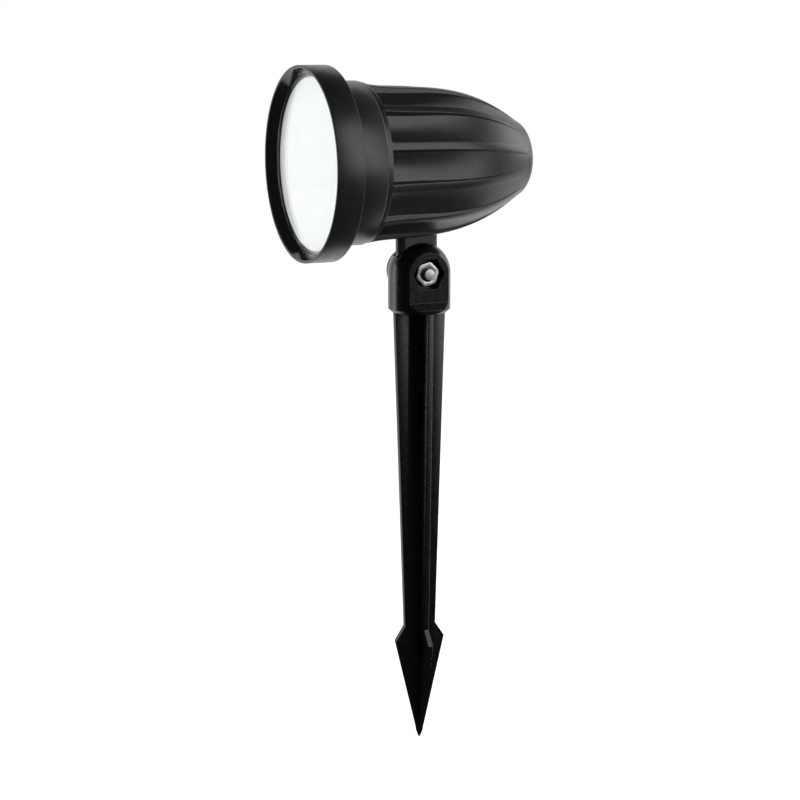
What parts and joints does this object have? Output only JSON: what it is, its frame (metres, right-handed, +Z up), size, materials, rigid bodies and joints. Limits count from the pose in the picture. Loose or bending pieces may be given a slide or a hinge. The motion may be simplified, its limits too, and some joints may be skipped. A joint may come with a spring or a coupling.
{
  "type": "garden spike spotlight",
  "caption": "Outdoor spotlight with a fluted round head that tilts on a bolted knuckle above a cross-shaped ground spike.",
  "frame": {"origin": "ground level on the spike's axis, at the underside of the knuckle", "axes": "+Z up along the spike's axis, -Y towards the lens, X along the pivot bolt"},
  "size_m": [0.085, 0.1123, 0.3112],
  "materials": {
    "bezel_black": "satin black moulded plastic",
    "housing_black": "satin black moulded plastic",
    "clear_glass": "clear flat glass",
    "rubber_black": "matt",
    "optic_white": "translucent white",
    "reflector_white": "glossy white",
    "board_white": "white solder mask on aluminium",
    "chip_yellow": "phosphor",
    "zinc": "bright zinc plating",
    "pad_grey": "matt",
    "bare_aluminium": "turned",
    "case_white": "moulded",
    "board_green": "solder mask",
    "winding_tape": "winding tape",
    "capacitor_sleeve": "shrunk sleeve",
    "chip_black": "moulded package",
    "terminal_grey": "moulded",
    "lead_red": "insulated wire",
    "gland_black": "moulded nylon",
    "knuckle_black": "semi-gloss black moulded plastic",
    "spike_black": "semi-gloss black moulded plastic"
  },
  "bodies": {
    "base": {"knuckle": "knuckle_black", "pivot_bolt": "zinc", "pivot_washer": "zinc", "pivot_nut": "zinc", "spike": "spike_black"},
    "head": {"front_bezel": "bezel_black", "lens_glass": "clear_glass", "lens_gasket": "rubber_black", "diffuser_optic": "optic_white", "reflector": "reflector_white", "led_board": "board_white", "led_chips": "chip_yellow", "board_screws": "zinc", "thermal_pad": "pad_grey", "heat_sink": "bare_aluminium", "housing": "housing_black", "driver_case": "case_white", "driver_board": "board_green", "driver_transformer": "winding_tape", "driver_capacitor": "capacitor_sleeve", "driver_chips": "chip_black", "terminal_block": "terminal_grey", "terminal_screws": "zinc", "led_leads": "lead_red", "gland_body": "gland_black", "gland_seal": "rubber_black", "gland_washer": "rubber_black", "gland_locknut": "gland_black"}
  },
  "joints": [
    {"name": "head_tilt", "type": "hinge", "parent": "base", "child": "head", "pos_m": [0, 0, 0.0176], "axis": [-1, 0, 0], "range_deg": [0, 90]}
  ]
}
